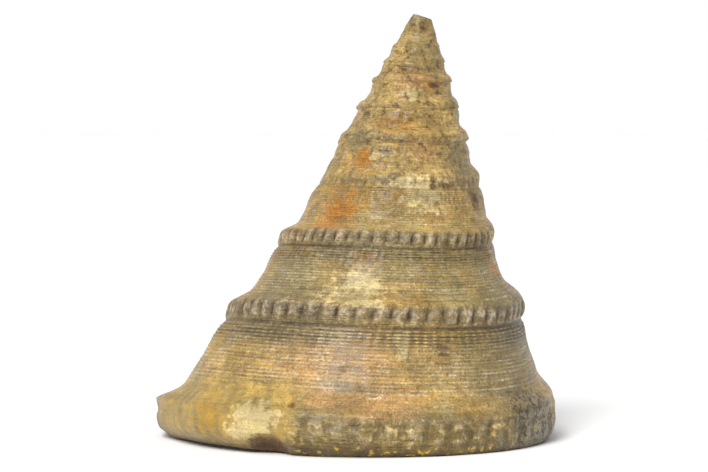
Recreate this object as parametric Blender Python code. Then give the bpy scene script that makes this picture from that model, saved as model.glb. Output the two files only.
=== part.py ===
"""Fossil sea snail: a tall coiled slit shell turned to stone, standing on its worn base.

The shell is one stone solid. Lengths are millimetres until the mesh is made, in metres.

Every place on the coil is given by two numbers. "Turns" counts back from the mouth along
the keel, so 0 is the mouth and 12 the tip. "Down" is the way down the whorl from the
keel there, in turns of growth, so -1 is the keel of the whorl above. The coil is the same
shape at every size: each turn is a fixed factor bigger than the one before.
"""

import math

import bmesh
import bpy
import numpy as np
from mathutils import Vector

# Names
COLLECTION_NAME = "fossil_sea_snail"
SHELL_NAME = "fossil_shell"
METRE = 0.001

# The coil round its axis; depths run down the axis from the point where the coil would start
MOUTH_KEEL_DEPTH = 49.7
GROWTH = 0.2625
TURNS = 12.0
MOUTH_AZIMUTH = math.radians(165.0)

# How the shell stands: its axis leans to the right, and its base is worn flat by the floor
LEAN = math.radians(7.55)
FLOOR_DEPTH = 50.0
START_X = 7.74
START_Y = 1.42

# Radius of the keel as a share of its depth: a narrow spire, a waist and a wider skirt
SPIRE_RATIO = 0.462
SKIRT_RATIO = 0.016
SKIRT_DEPTHS = (27.0, 33.0)
WAIST_RATIO = 0.015
WAIST_DEPTH = 23.5
WAIST_SPREAD = 0.25

# One whorl, in shares of its radius and of the way down to the next keel
SHOULDER_DROP = 0.035
SHOULDER_SPAN = (0.03, 0.15)
FLANK_DROP = 0.022
FLANK_SPAN = (0.15, 0.55)
GROOVE_DEPTH = 0.012
GROOVE_PLACE = 0.16
GROOVE_WIDTH = 0.035
LEDGE_SPAN_LOW = (0.77, 1.0)
LEDGE_SPAN_HIGH = (0.70, 0.90)
LEDGE_SWAY = 0.035
LEDGE_CHANGE_DEPTHS = (34.0, 42.0)
DEEP_FLANK_GAIN = 0.45
DEEP_FLANK_DEPTHS = (7.0, 10.0, 33.0, 40.0)
FULL_WHORL_GAIN = 1.2
FULL_WHORL_DEPTH = 21.7
FULL_WHORL_SPREAD = 0.13
WORN_TIP_DEPTHS = (2.4, 6.0)

# Beads on the keels
BEADS_PER_TURN = 52
BEAD_HEIGHT = 0.46
BEAD_SUNK_SHARE = 0.6
BEAD_BAND = (-0.20, -0.12, 0.07, 0.14)
BEAD_WORN_DEPTHS = (3.5, 9.0)

# Bare stone mould near the mouth, where the shell wall with its beads has broken away
MOULD_TURNS = (0.04, 0.10, 0.215, 0.24)
MOULD_LOSS = 0.45
MOULD_RIM_SHARE = 0.4
MOULD_BAND = (-0.32, -0.08)

# Left side: slimmer from the spire to the keel above the last, and rubbed bare at one keel
LEFT_AZIMUTH = math.radians(182.0)
LEFT_SPREAD = math.radians(60.0)
LEFT_LOSS = 0.035
LEFT_DEPTHS = (8.0, 12.0, 37.0, 43.0)
WORN_LOSS = 0.075
WORN_DEPTH = 20.8
WORN_DEPTH_SPREAD = 0.16

# Base rim under the last keel: shares of the keel radius, and of the depth down to the rim
RIM_SHAPE = ((1.017, 0.42), (1.003, 0.72), (0.965, 0.87), (0.92, 1.0), (0.86, 1.0))
RIM_DROP_AT_MOUTH = 0.085
RIM_DROP_GROWTH = 0.0636
RIM_DROP_MOST = 0.125
RIM_FADE_TURNS = (0.72, 0.98)
BARE_RIM_SHAPE = ((0.994, 0.043), (0.962, 0.058), (0.93, 0.07), (0.89, 0.08), (0.83, 0.085))

# Hollow base inside the rim and the central pillar
BASE_SHAPE = (0.72, 0.56, 0.38)
BASE_HOLLOW_SPAN = (0.52, 0.86)
BASE_DROP_AT_MOUTH = -0.02
BASE_DROP = 0.07
BASE_DROP_TURNS = 0.45
PILLAR_FOOT_RADIUS = 3.6
PILLAR_END_RADIUS = 2.3
PILLAR_END_DEPTH = 49.3
PILLAR_TIP_DEPTH = 49.7

# Stone filling of the mouth, set back a little from the edge
MOUTH_RECESS = math.radians(5.0)
MOUTH_STEPS = 14

# Broken tip: a plane that slants down to the right
TIP_CUT_DEPTH = 2.25
TIP_CUT_SLOPE = 0.19

# Arched hollow under the rim at the front left
NOTCH_AZIMUTH = math.radians(240.0)
NOTCH_RADIUS = 22.6
NOTCH_SIZE = (3.2, 3.0, 2.5)
NOTCH_FILL = 0.75

# Mesh: rows down the whorl, with the two bead rows twice as dense, and columns per turn
ROWS_DOWN = (-0.84, -0.72, -0.48, -0.28, -0.18, -0.11, 0.06, 0.12)
BEAD_ROWS = (5, 6)
COLUMNS = ((0.0, 5.0, 52), (5.0, 8.0, 36), (8.0, TURNS, 20))
BASE_COLUMNS = 52
INNER_BASE_COLUMNS = 26
PILLAR_COLUMNS = 14
LEVEL_TURNS = 1e-6

# Stone finish
STONE_COLOUR = (0.31, 0.22, 0.10, 1.0)
STONE_ROUGHNESS = 0.42
SHARP_ANGLE = math.radians(50.0)


def smooth(low, high, value):
    """Rise from 0 to 1 between low and high, level at both ends."""
    share = np.clip((value - low) / (high - low), 0.0, 1.0)
    return share * share * (3.0 - 2.0 * share)


def bell(value, centre, spread):
    return np.exp(-(((value - centre) / spread) ** 2))


def mix(first, second, share):
    return first + (second - first) * share


def keel_depth(turns):
    return MOUTH_KEEL_DEPTH * np.exp(-GROWTH * turns)


def azimuth_at(turns):
    return MOUTH_AZIMUTH + 2.0 * math.pi * turns


def cone_ratio(depth):
    """Radius of a keel as a share of its depth."""
    skirt = SKIRT_RATIO * smooth(*SKIRT_DEPTHS, depth)
    waist = WAIST_RATIO * bell(np.log(depth), math.log(WAIST_DEPTH), WAIST_SPREAD)
    return SPIRE_RATIO + skirt - waist


def left_share(azimuth):
    """1 in the middle of the left side, falling to 0 round the shell."""
    off_centre = np.angle(np.exp(1j * (azimuth - LEFT_AZIMUTH)))
    return bell(off_centre, 0.0, LEFT_SPREAD)


def worn_share(azimuth, depth):
    """How much of the relief is rubbed away on the left side."""
    return left_share(azimuth) * bell(np.log(depth), math.log(WORN_DEPTH), WORN_DEPTH_SPREAD)


def left_loss(azimuth, depth):
    """Share of the radius that the slimmer left side lacks."""
    inside = smooth(*LEFT_DEPTHS[:2], depth) - smooth(*LEFT_DEPTHS[2:], depth)
    return LEFT_LOSS * left_share(azimuth) * inside


def whorl_relief(down, azimuth, depth):
    """Loss of radius between two keels: shoulder, groove, hollow flank and ledge."""
    place = np.mod(down, 1.0)
    high = 1.0 - smooth(*LEDGE_CHANGE_DEPTHS, depth)
    sway = -LEDGE_SWAY * np.cos(azimuth)
    ledge_start = mix(LEDGE_SPAN_LOW[0], LEDGE_SPAN_HIGH[0], high) + sway
    ledge_end = mix(LEDGE_SPAN_LOW[1], LEDGE_SPAN_HIGH[1], high) + sway
    loss = SHOULDER_DROP * smooth(*SHOULDER_SPAN, place)
    loss = loss + FLANK_DROP * smooth(*FLANK_SPAN, place)
    loss = loss * (1.0 - smooth(ledge_start, ledge_end, place))
    deep = smooth(*DEEP_FLANK_DEPTHS[:2], depth) - smooth(*DEEP_FLANK_DEPTHS[2:], depth)
    full = bell(np.log(depth), math.log(FULL_WHORL_DEPTH), FULL_WHORL_SPREAD)
    gain = 1.0 + DEEP_FLANK_GAIN * deep - FULL_WHORL_GAIN * full
    groove = GROOVE_DEPTH * bell(place, GROOVE_PLACE, GROOVE_WIDTH)
    return (loss * gain + groove) * smooth(*WORN_TIP_DEPTHS, depth)


def bead_relief(turns, down, depth):
    """Height of the beads, which run round each keel as short upright ribs."""
    rise = smooth(BEAD_BAND[0], BEAD_BAND[1], down)
    fall = 1.0 - smooth(BEAD_BAND[2], BEAD_BAND[3], down)
    wave = 0.5 + 0.5 * np.cos(2.0 * math.pi * BEADS_PER_TURN * turns) - BEAD_SUNK_SHARE
    fresh = smooth(*MOULD_TURNS[2:], turns) * smooth(*BEAD_WORN_DEPTHS, depth)
    return BEAD_HEIGHT * wave * rise * fall * fresh * np.sqrt(depth / MOUTH_KEEL_DEPTH)


def mould_loss(turns):
    """Thickness of the shell wall that is missing from the stone near the mouth."""
    return MOULD_LOSS * (smooth(*MOULD_TURNS[:2], turns) - smooth(*MOULD_TURNS[2:], turns))


def rim_drop(turns):
    """Depth of the rim below the last keel, as a share of the keel's depth."""
    return np.minimum(RIM_DROP_AT_MOUTH + RIM_DROP_GROWTH * turns, RIM_DROP_MOST)


def whorl_point(turns, down):
    """Radius, azimuth and depth on the side of the shell."""
    depth = keel_depth(turns) * np.exp(GROWTH * down)
    azimuth = azimuth_at(turns)
    worn = worn_share(azimuth, depth)
    share = 1.0 - mix(whorl_relief(down, azimuth, depth), WORN_LOSS, worn) - left_loss(azimuth, depth)
    radius = cone_ratio(depth) * depth * share
    if down > 0.0:
        drop_share = np.expm1(GROWTH * down) / (RIM_SHAPE[0][1] * rim_drop(turns))
        bulge = 1.0 + (RIM_SHAPE[0][0] - 1.0) * drop_share
        rim_radius = cone_ratio(keel_depth(turns)) * keel_depth(turns) * bulge
        radius = np.where(turns < 1.0, mix(rim_radius, radius, smooth(*RIM_FADE_TURNS, turns)), radius)
    radius = radius - mould_loss(turns) * smooth(*MOULD_BAND, down)
    return radius + bead_relief(turns, down, depth) * (1.0 - worn), azimuth, depth


def rim_point(turns, row):
    """Radius, azimuth and depth on the rounded rim under the last keel."""
    bare = smooth(*RIM_FADE_TURNS, turns)
    across = mix(RIM_SHAPE[row][0], BARE_RIM_SHAPE[row][0], bare)
    drop = mix(RIM_SHAPE[row][1] * rim_drop(turns), BARE_RIM_SHAPE[row][1], bare)
    depth = keel_depth(turns)
    radius = cone_ratio(depth) * depth * across - mould_loss(turns)
    return radius, azimuth_at(turns), depth * (1.0 + drop) - MOULD_RIM_SHARE * mould_loss(turns)


def base_centre_depth(turns):
    drop = mix(BASE_DROP_AT_MOUTH, BASE_DROP, smooth(0.0, BASE_DROP_TURNS, turns))
    return keel_depth(turns) * (1.0 + drop)


def base_point(turns, across):
    """Radius, azimuth and depth on the hollow base, across being the share of the keel radius."""
    last = len(RIM_SHAPE) - 1
    rim_radius, azimuth, rim_depth = rim_point(turns, last)
    keel_radius = cone_ratio(keel_depth(turns)) * keel_depth(turns)
    inward = smooth(*BASE_HOLLOW_SPAN, np.full_like(turns, across))
    return across * keel_radius, azimuth, mix(base_centre_depth(turns), rim_depth, inward)


def pillar_point(turns, share):
    """Radius, azimuth and depth on the pillar: share 0 is its foot on the base, 1 its end."""
    radius = mix(PILLAR_FOOT_RADIUS, PILLAR_END_RADIUS, math.sqrt(share))
    depth = mix(base_centre_depth(turns), PILLAR_END_DEPTH, share)
    return np.full_like(turns, radius), azimuth_at(turns), depth


def cut_tip(x, depth):
    """Nothing stands above the slanting break at the tip."""
    return np.maximum(depth, TIP_CUT_DEPTH + TIP_CUT_SLOPE * x)


def carve_notch(points):
    """Push the surface back from a centre just outside the rim, which leaves an arched hollow."""
    outward = np.array((math.cos(NOTCH_AZIMUTH), math.sin(NOTCH_AZIMUTH), 0.0))
    along = np.array((-outward[1], outward[0], 0.0))
    upward = np.array((0.0, 0.0, 1.0))
    frame = np.stack((outward, along, upward))
    centre = stand((NOTCH_RADIUS, NOTCH_AZIMUTH, FLOOR_DEPTH / math.cos(LEAN)))
    centre[2] = 0.0
    local = (points - centre) @ frame.T / np.array(NOTCH_SIZE)
    distance = np.linalg.norm(local, axis=-1, keepdims=True)
    pushed = NOTCH_FILL + (1.0 - NOTCH_FILL) * distance
    scale = np.where(distance < 1.0, pushed / np.maximum(distance, 0.05), 1.0)
    return centre + (local * scale * np.array(NOTCH_SIZE)) @ frame


def stand(place):
    """Turn radius, azimuth and depth into a point of the leaning shell, above the floor."""
    radius, azimuth, depth = place
    x = radius * np.cos(azimuth)
    y = radius * np.sin(azimuth)
    z = -cut_tip(x, depth)
    across = x * math.cos(LEAN) + z * math.sin(LEAN) + START_X
    height = z * math.cos(LEAN) - x * math.sin(LEAN) + FLOOR_DEPTH
    points = np.stack((across, y + START_Y, np.maximum(height, 0.0)), axis=-1)
    return points


def row_turns(dense):
    """Places along a row of the coil, closer together on the rows that carry the beads."""
    places = [0.0]
    for start, end, per_turn in COLUMNS:
        double = 2 if dense and per_turn == BEADS_PER_TURN else 1
        count = round((end - start) * per_turn * double)
        places.extend(np.linspace(start, end, count + 1)[1:])
    return np.array(places)


def add_row(mesh, turns, place):
    """Add one row of vertices, kept as pairs of turns and vertex."""
    points = carve_notch(stand(place)) * METRE
    return [(along, mesh.verts.new(point)) for along, point in zip(turns, points)]


def add_face(mesh, corners):
    if len(set(corners)) == len(corners):
        mesh.faces.new(corners)


def upper_comes_next(upper, lower, i, j):
    """Which of two rows to step along; where both are level, the diagonals alternate."""
    if i == len(upper) - 1 or j == len(lower) - 1:
        return i < len(upper) - 1
    lead = upper[i + 1][0] - lower[j + 1][0]
    if abs(lead) > LEVEL_TURNS:
        return lead < 0.0
    offset = upper[i][0] - lower[j][0]
    if abs(offset) > LEVEL_TURNS:
        return offset < 0.0
    return i % 2 == 0


def zip_rows(mesh, upper, lower):
    """Join two rows with triangles, stepping along whichever row comes next."""
    i = 0
    j = 0
    while i < len(upper) - 1 or j < len(lower) - 1:
        if upper_comes_next(upper, lower, i, j):
            add_face(mesh, (upper[i + 1][1], upper[i][1], lower[j][1]))
            i += 1
        else:
            add_face(mesh, (lower[j + 1][1], upper[i][1], lower[j][1]))
            j += 1


def add_whorls(mesh):
    """Rows of the coil from the groove under one keel to the foot of the next keel."""
    rows = []
    for number, down in enumerate(ROWS_DOWN):
        turns = row_turns(number in BEAD_ROWS)
        rows.append(add_row(mesh, turns, whorl_point(turns, down)))
    for upper, lower in zip(rows, rows[1:]):
        zip_rows(mesh, upper, lower)
    return rows


def add_base(mesh, coil_start):
    """Rows of the base for the last turn; the first row ends where the coil's top row starts."""
    rows = []
    for row in range(len(RIM_SHAPE)):
        turns = np.linspace(0.0, 1.0, BASE_COLUMNS + 1)
        rows.append(add_row(mesh, turns, rim_point(turns, row)))
    for across in BASE_SHAPE:
        turns = np.linspace(0.0, 1.0, INNER_BASE_COLUMNS + 1)
        rows.append(add_row(mesh, turns, base_point(turns, across)))
    for share in (0.0, 0.4):
        turns = np.linspace(0.0, 1.0, PILLAR_COLUMNS + 1)
        rows.append(add_row(mesh, turns, pillar_point(turns, share)))
    mesh.verts.remove(rows[0][-1][1])
    rows[0][-1] = (1.0, coil_start)
    rows.append(add_pillar_end(mesh))
    for upper, lower in zip(rows, rows[1:]):
        zip_rows(mesh, upper, lower)
    return rows


def add_pillar_end(mesh):
    """Closed ring and middle vertex at the end of the pillar."""
    turns = np.linspace(0.0, 1.0, PILLAR_COLUMNS + 1)[:-1]
    ring = add_row(mesh, turns, pillar_point(turns, 1.0))
    ring.append((1.0, ring[0][1]))
    middle = add_row(mesh, [0.0], (np.zeros(1), np.zeros(1), np.full(1, PILLAR_TIP_DEPTH)))[0][1]
    for (_, first), (_, second) in zip(ring, ring[1:]):
        add_face(mesh, (second, first, middle))
    return ring


def join_turns(mesh, rows, base_rows):
    """Join the foot of each keel to the groove one turn nearer the mouth, or to the rim."""
    below = base_rows[0][:-1] + [(turns + 1.0, vertex) for turns, vertex in rows[0]]
    below = [pair for pair in below if pair[0] <= TURNS + LEVEL_TURNS]
    zip_rows(mesh, rows[-1], below)


def cap_tip(mesh, rows):
    """Close the broken tip with a fan round one low middle vertex."""
    edge = [vertex for turns, vertex in rows[0] if turns >= TURNS - 1.0 - LEVEL_TURNS]
    edge.extend(row[-1][1] for row in rows[1:])
    middle = sum((vertex.co for vertex in edge), Vector()) / len(edge)
    centre = mesh.verts.new(middle)
    for first, second in zip(edge, edge[1:] + edge[:1]):
        add_face(mesh, (first, second, centre))


def measured(vertices):
    """Pair each vertex of a column with its share of the column's length."""
    steps = [(b.co - a.co).length for a, b in zip(vertices, vertices[1:])]
    along = np.concatenate(([0.0], np.cumsum(steps)))
    return list(zip(along / along[-1], vertices))


def point_along(column, share):
    places = [place for place, _ in column]
    return np.array([np.interp(share, places, [vertex.co[axis] for _, vertex in column]) for axis in range(3)])


def fill_mouth(mesh, rows, base_rows):
    """Close the mouth between its outer edge and the whorl inside it, hollowed a little."""
    outer = measured([row[0][1] for row in rows + base_rows])
    inner = measured([rows[0][0][1]] + [row[-1][1] for row in base_rows[1:]])
    inward = np.array((-math.sin(MOUTH_AZIMUTH), math.cos(MOUTH_AZIMUTH), 0.0))
    reach = np.array((START_X * METRE, START_Y * METRE, 0.0))
    middle = [outer[0]]
    for share in np.linspace(0.0, 1.0, MOUTH_STEPS + 1)[1:-1]:
        point = (point_along(outer, share) + point_along(inner, share)) / 2.0
        radius = np.linalg.norm((point - reach)[:2])
        hollow = math.sin(math.pi * share) * math.tan(MOUTH_RECESS) * radius
        middle.append((share, mesh.verts.new(point + inward * hollow)))
    middle.append(outer[-1])
    zip_rows(mesh, middle, outer)
    zip_rows(mesh, inner, middle)


def build_shell():
    mesh = bmesh.new()
    rows = add_whorls(mesh)
    base_rows = add_base(mesh, rows[0][0][1])
    join_turns(mesh, rows, base_rows)
    cap_tip(mesh, rows)
    fill_mouth(mesh, rows, base_rows)
    bmesh.ops.recalc_face_normals(mesh, faces=mesh.faces)
    data = bpy.data.meshes.new(SHELL_NAME)
    mesh.to_mesh(data)
    mesh.free()
    data.shade_smooth()
    data.set_sharp_from_angle(angle=SHARP_ANGLE)
    return bpy.data.objects.new(SHELL_NAME, data)


def stone_material():
    material = bpy.data.materials.new("honey_limestone")
    material.use_nodes = True
    shader = material.node_tree.nodes["Principled BSDF"]
    shader.inputs["Base Color"].default_value = STONE_COLOUR
    shader.inputs["Roughness"].default_value = STONE_ROUGHNESS
    shader.inputs["Metallic"].default_value = 0.0
    return material


def main():
    for old in list(bpy.data.objects):
        bpy.data.objects.remove(old, do_unlink=True)
    parts = bpy.data.collections.new(COLLECTION_NAME)
    bpy.context.scene.collection.children.link(parts)
    shell = build_shell()
    shell.data.materials.append(stone_material())
    parts.objects.link(shell)


main()
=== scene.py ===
import math

import bmesh
import bpy
import numpy as np
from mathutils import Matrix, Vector, noise


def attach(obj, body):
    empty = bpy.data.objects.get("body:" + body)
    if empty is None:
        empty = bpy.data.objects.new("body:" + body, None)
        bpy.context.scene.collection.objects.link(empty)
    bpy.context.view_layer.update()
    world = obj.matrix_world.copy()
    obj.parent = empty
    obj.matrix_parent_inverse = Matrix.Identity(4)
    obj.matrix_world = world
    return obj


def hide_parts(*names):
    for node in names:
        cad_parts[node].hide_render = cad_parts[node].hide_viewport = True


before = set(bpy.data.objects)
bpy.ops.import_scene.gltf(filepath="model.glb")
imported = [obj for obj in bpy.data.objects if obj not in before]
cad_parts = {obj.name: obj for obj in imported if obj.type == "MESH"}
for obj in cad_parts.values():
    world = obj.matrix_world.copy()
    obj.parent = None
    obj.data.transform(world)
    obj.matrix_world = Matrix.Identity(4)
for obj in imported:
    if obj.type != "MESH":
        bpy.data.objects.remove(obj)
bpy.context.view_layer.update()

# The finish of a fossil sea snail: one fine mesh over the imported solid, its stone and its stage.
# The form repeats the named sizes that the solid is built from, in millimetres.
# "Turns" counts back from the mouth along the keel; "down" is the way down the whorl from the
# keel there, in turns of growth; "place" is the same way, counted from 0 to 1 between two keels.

SHELL = "fossil_shell"
SURFACE = "fossil_shell_surface"
STONE = "honey_limestone"
METRE = 0.001

# The coil round its axis; depths run down the axis from the point where the coil would start
MOUTH_KEEL_DEPTH = 49.7
GROWTH = 0.2625
TURNS = 12.0
MOUTH_AZIMUTH = math.radians(165.0)

# How the shell stands: its axis leans to the right, and its base is worn flat by the floor
LEAN = math.radians(7.55)
FLOOR_DEPTH = 50.0
START_X = 7.74
START_Y = 1.42

# Radius of the keel as a share of its depth: a narrow spire, a waist and a wider skirt
SPIRE_RATIO = 0.462
SKIRT_RATIO = 0.016
SKIRT_DEPTHS = (27.0, 33.0)
WAIST_RATIO = 0.015
WAIST_DEPTH = 23.5
WAIST_SPREAD = 0.25

# One whorl, in shares of its radius and of the way down to the next keel
SHOULDER_DROP = 0.035
SHOULDER_SPAN = (0.03, 0.15)
FLANK_DROP = 0.022
FLANK_SPAN = (0.15, 0.55)
GROOVE_DEPTH = 0.012
GROOVE_PLACE = 0.16
GROOVE_WIDTH = 0.035
LEDGE_SPAN_LOW = (0.77, 1.0)
LEDGE_SPAN_HIGH = (0.70, 0.90)
LEDGE_SWAY = 0.035
LEDGE_CHANGE_DEPTHS = (34.0, 42.0)
DEEP_FLANK_GAIN = 0.45
DEEP_FLANK_DEPTHS = (7.0, 10.0, 33.0, 40.0)
FULL_WHORL_GAIN = 1.2
FULL_WHORL_DEPTH = 21.7
FULL_WHORL_SPREAD = 0.13
WORN_TIP_DEPTHS = (2.4, 6.0)

# Beads on the keels: each has its own height, and they lean a little with the growth lines.
# They are worn away on the spire, and on the last keel they lie lower and are flatter.
BEADS_PER_TURN = 52
BEAD_HEIGHT = 0.5
BEAD_SUNK_SHARE = 0.7
BEAD_BAND = (-0.165, -0.045, 0.045, 0.16)
BEAD_WORN_DEPTHS = (11.0, 30.0)
BEAD_FLATNESS = 2.5
BEAD_SLANT = 0.012
BEAD_HEIGHTS = (0.55, 1.25)
BEAD_RIM_SHIFT = 0.13
BEAD_RIM_FADE = (0.0, 0.3)
BEAD_LAST_SHARE = 0.7
BEAD_LAST_DEPTHS = (38.0, 44.0)
BEAD_SEED = 11
SPARE_BEADS = 4

# The keels above the last are rounded: centre and spread down the whorl, and height
KEEL_ROUNDING = ((-0.10, 0.06, 0.18), (0.05, 0.05, -0.30))

# Bare stone mould near the mouth, where the shell wall with its beads has broken away
MOULD_TURNS = (0.04, 0.10, 0.215, 0.24)
MOULD_LOSS = 0.45
MOULD_RIM_SHARE = 0.4
MOULD_BAND = (-0.32, -0.08)
MOULD_CORD_LOSS = 0.9
ARCS_PER_TURN = 78
ARC_SLANT = 0.05

# The coil's end at the left stands out as a small lobe: its height, and its centre and spread
LOBE_HEIGHT = 0.9
LOBE_TURNS = (0.02, 0.05)
LOBE_DOWN = (0.0, 0.07)

# Left side: slimmer from the spire to the keel above the last, and rubbed bare at one keel
LEFT_AZIMUTH = math.radians(182.0)
LEFT_SPREAD = math.radians(60.0)
LEFT_LOSS = 0.035
LEFT_DEPTHS = (8.0, 12.0, 37.0, 43.0)
WORN_LOSS = 0.075
WORN_DEPTH = 20.8
WORN_DEPTH_SPREAD = 0.16

# Base rim under the last keel: shares of the keel radius, and of the depth down to the rim,
# or of the keel depth on the bare rim; and how far the beads lean on their way down it
RIM_SHAPE = ((1.0, 0.0), (1.017, 0.42), (1.003, 0.72), (0.965, 0.87), (0.92, 1.0), (0.86, 1.0))
RIM_DROP_AT_MOUTH = 0.085
RIM_DROP_GROWTH = 0.0636
RIM_DROP_MOST = 0.125
RIM_FADE_TURNS = (0.72, 0.98)
BARE_RIM_SHAPE = ((1.0, 0.0), (0.994, 0.043), (0.962, 0.058), (0.93, 0.07), (0.89, 0.08), (0.83, 0.085))
RIM_BEAD_SPAN = 0.4

# Painted shade on the foot of the rim, in shares of the way down it: as a rule, and under the bare mould
FOOT_SPAN = (0.05, 0.38)
BARE_FOOT_SPAN = (0.4, 0.65)

# Hollow base inside the rim and the central pillar
BASE_EDGE = 0.86
BASE_MIDDLE = 0.2
BASE_HOLLOW_SPAN = (0.52, 0.86)
BASE_DROP_AT_MOUTH = -0.02
BASE_DROP = 0.07
BASE_DROP_TURNS = 0.45
PILLAR_FOOT_RADIUS = 3.6
PILLAR_END_RADIUS = 2.3
PILLAR_END_DEPTH = 49.3
PILLAR_TIP_DEPTH = 49.7

# Recess of the stone in the mouth, the broken tip and the arched hollow under the rim
MOUTH_RECESS = math.radians(5.0)
TIP_CUT_DEPTH = 2.25
TIP_CUT_SLOPE = 0.19
NOTCH_AZIMUTH = math.radians(240.0)
NOTCH_RADIUS = 22.6
NOTCH_SIZE = (3.2, 3.0, 2.5)
NOTCH_FILL = 0.75
NOTCH_LEAST_DISTANCE = 0.05

# Fine relief: spiral cords on the flanks, a net of riblets, and a line of painted shade under each keel
CORDS = 18
CORD_SPAN = (0.16, 0.82)
CORD_FADE = 0.03
CORD_HEIGHT_TOP = 0.14
CORD_HEIGHT_LOW = 0.075
NET_SPAN = (0.26, 0.46)
RIBLETS_PER_TURN = 104
RIBLET_HEIGHT = 0.10
RIBLET_GAP_SHARE = 0.8
MOSS_SPAN = (-0.02, 0.10)
SEAM_PLACE = 0.145
SEAM_WIDTH = 0.024
RIM_SEAM_PLACE = -0.035
RIM_SEAM_SHARE = 0.4
SPIRE_FADE_DEPTHS = (12.0, 30.0)

# Wear of the whole surface: sizes and heights of its unevenness, rougher on the spire and calm
# near the axis; small pits; and larger holes, each with its azimuth in degrees, axis depth, size
# and how deep it is
WEAR_SIZES = ((6.0, 0.16), (2.2, 0.11), (0.8, 0.07))
SPIRE_WEAR_SIZES = ((1.7, 0.45), (0.8, 0.30))
SPIRE_WEAR_DEPTHS = (12.0, 27.0)
SPIRE_BAND_LOSS = 0.7
CALM_RADIUS = 2.0
PIT_SIZE = 1.1
PIT_LEVELS = (0.42, 0.62)
PIT_DEPTH = 0.14
MATRIX_LUMP_SIZE = 2.2
MATRIX_LUMP_HEIGHT = 0.5
HOLES = ((244.5, 45.9, 0.55, 0.35), (292.5, 21.0, 0.4, 0.2), (303.1, 20.9, 0.45, 0.2),
         (331.8, 21.9, 0.5, 0.3), (215.6, 14.2, 0.6, 0.3), (253.7, 16.4, 0.5, 0.25))

# Mesh: columns per turn along the coil, and how far up the coil its rows run. Most rows of the
# flank are short, every third is a middle one and every sixth goes to the tip; the rows of the
# keel are middle ones, and every third goes to the tip.
COLUMNS = ((0.0, 3.0, 312), (3.0, 5.0, 208), (5.0, 8.0, 104), (8.0, TURNS, 52))
SHORT_ROWS_TO = 4.0
MIDDLE_ROWS_TO = 7.0
MIDDLE_ROW_STEP = 3
LONG_ROW_STEP = 6
BAND_ROWS = 15
RIM_ROWS = 12
RIM_START_GAP = 0.03
BASE_ROWS = 14
BASE_COLUMN_STEP = 2
PILLAR_ROWS = 8
PILLAR_COLUMN_STEP = 6
MOUTH_STEPS = 48
MOUTH_COLUMNS = 12
LEVEL_TURNS = 1e-6
SHARP_ANGLE = math.radians(65.0)

# Scale of the streaks that run along the coil: round it, across the whorl and from turn to turn.
# The base, the pillar and the matrix take them from places down the whorl of their own.
STREAK_ROUND = 2.6
STREAK_ACROSS = 4.4
STREAK_TURNS = 7.0
BASE_DOWN = 1.5
PILLAR_DOWN = (1.4, 1.7)
PILLAR_TIP_DOWN = 1.8
MATRIX_DOWN = (0.0, 3.0)
MATRIX_LEAST_DEPTH = 1.0
MATRIX_STAIN_LOSS = 0.5

# What each vertex is marked with, beside the stains
MARKS = ("band", "bead", "gap", "ridge", "furrow", "net", "seam", "under", "foot", "mould", "arc",
         "base", "matrix")

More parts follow.
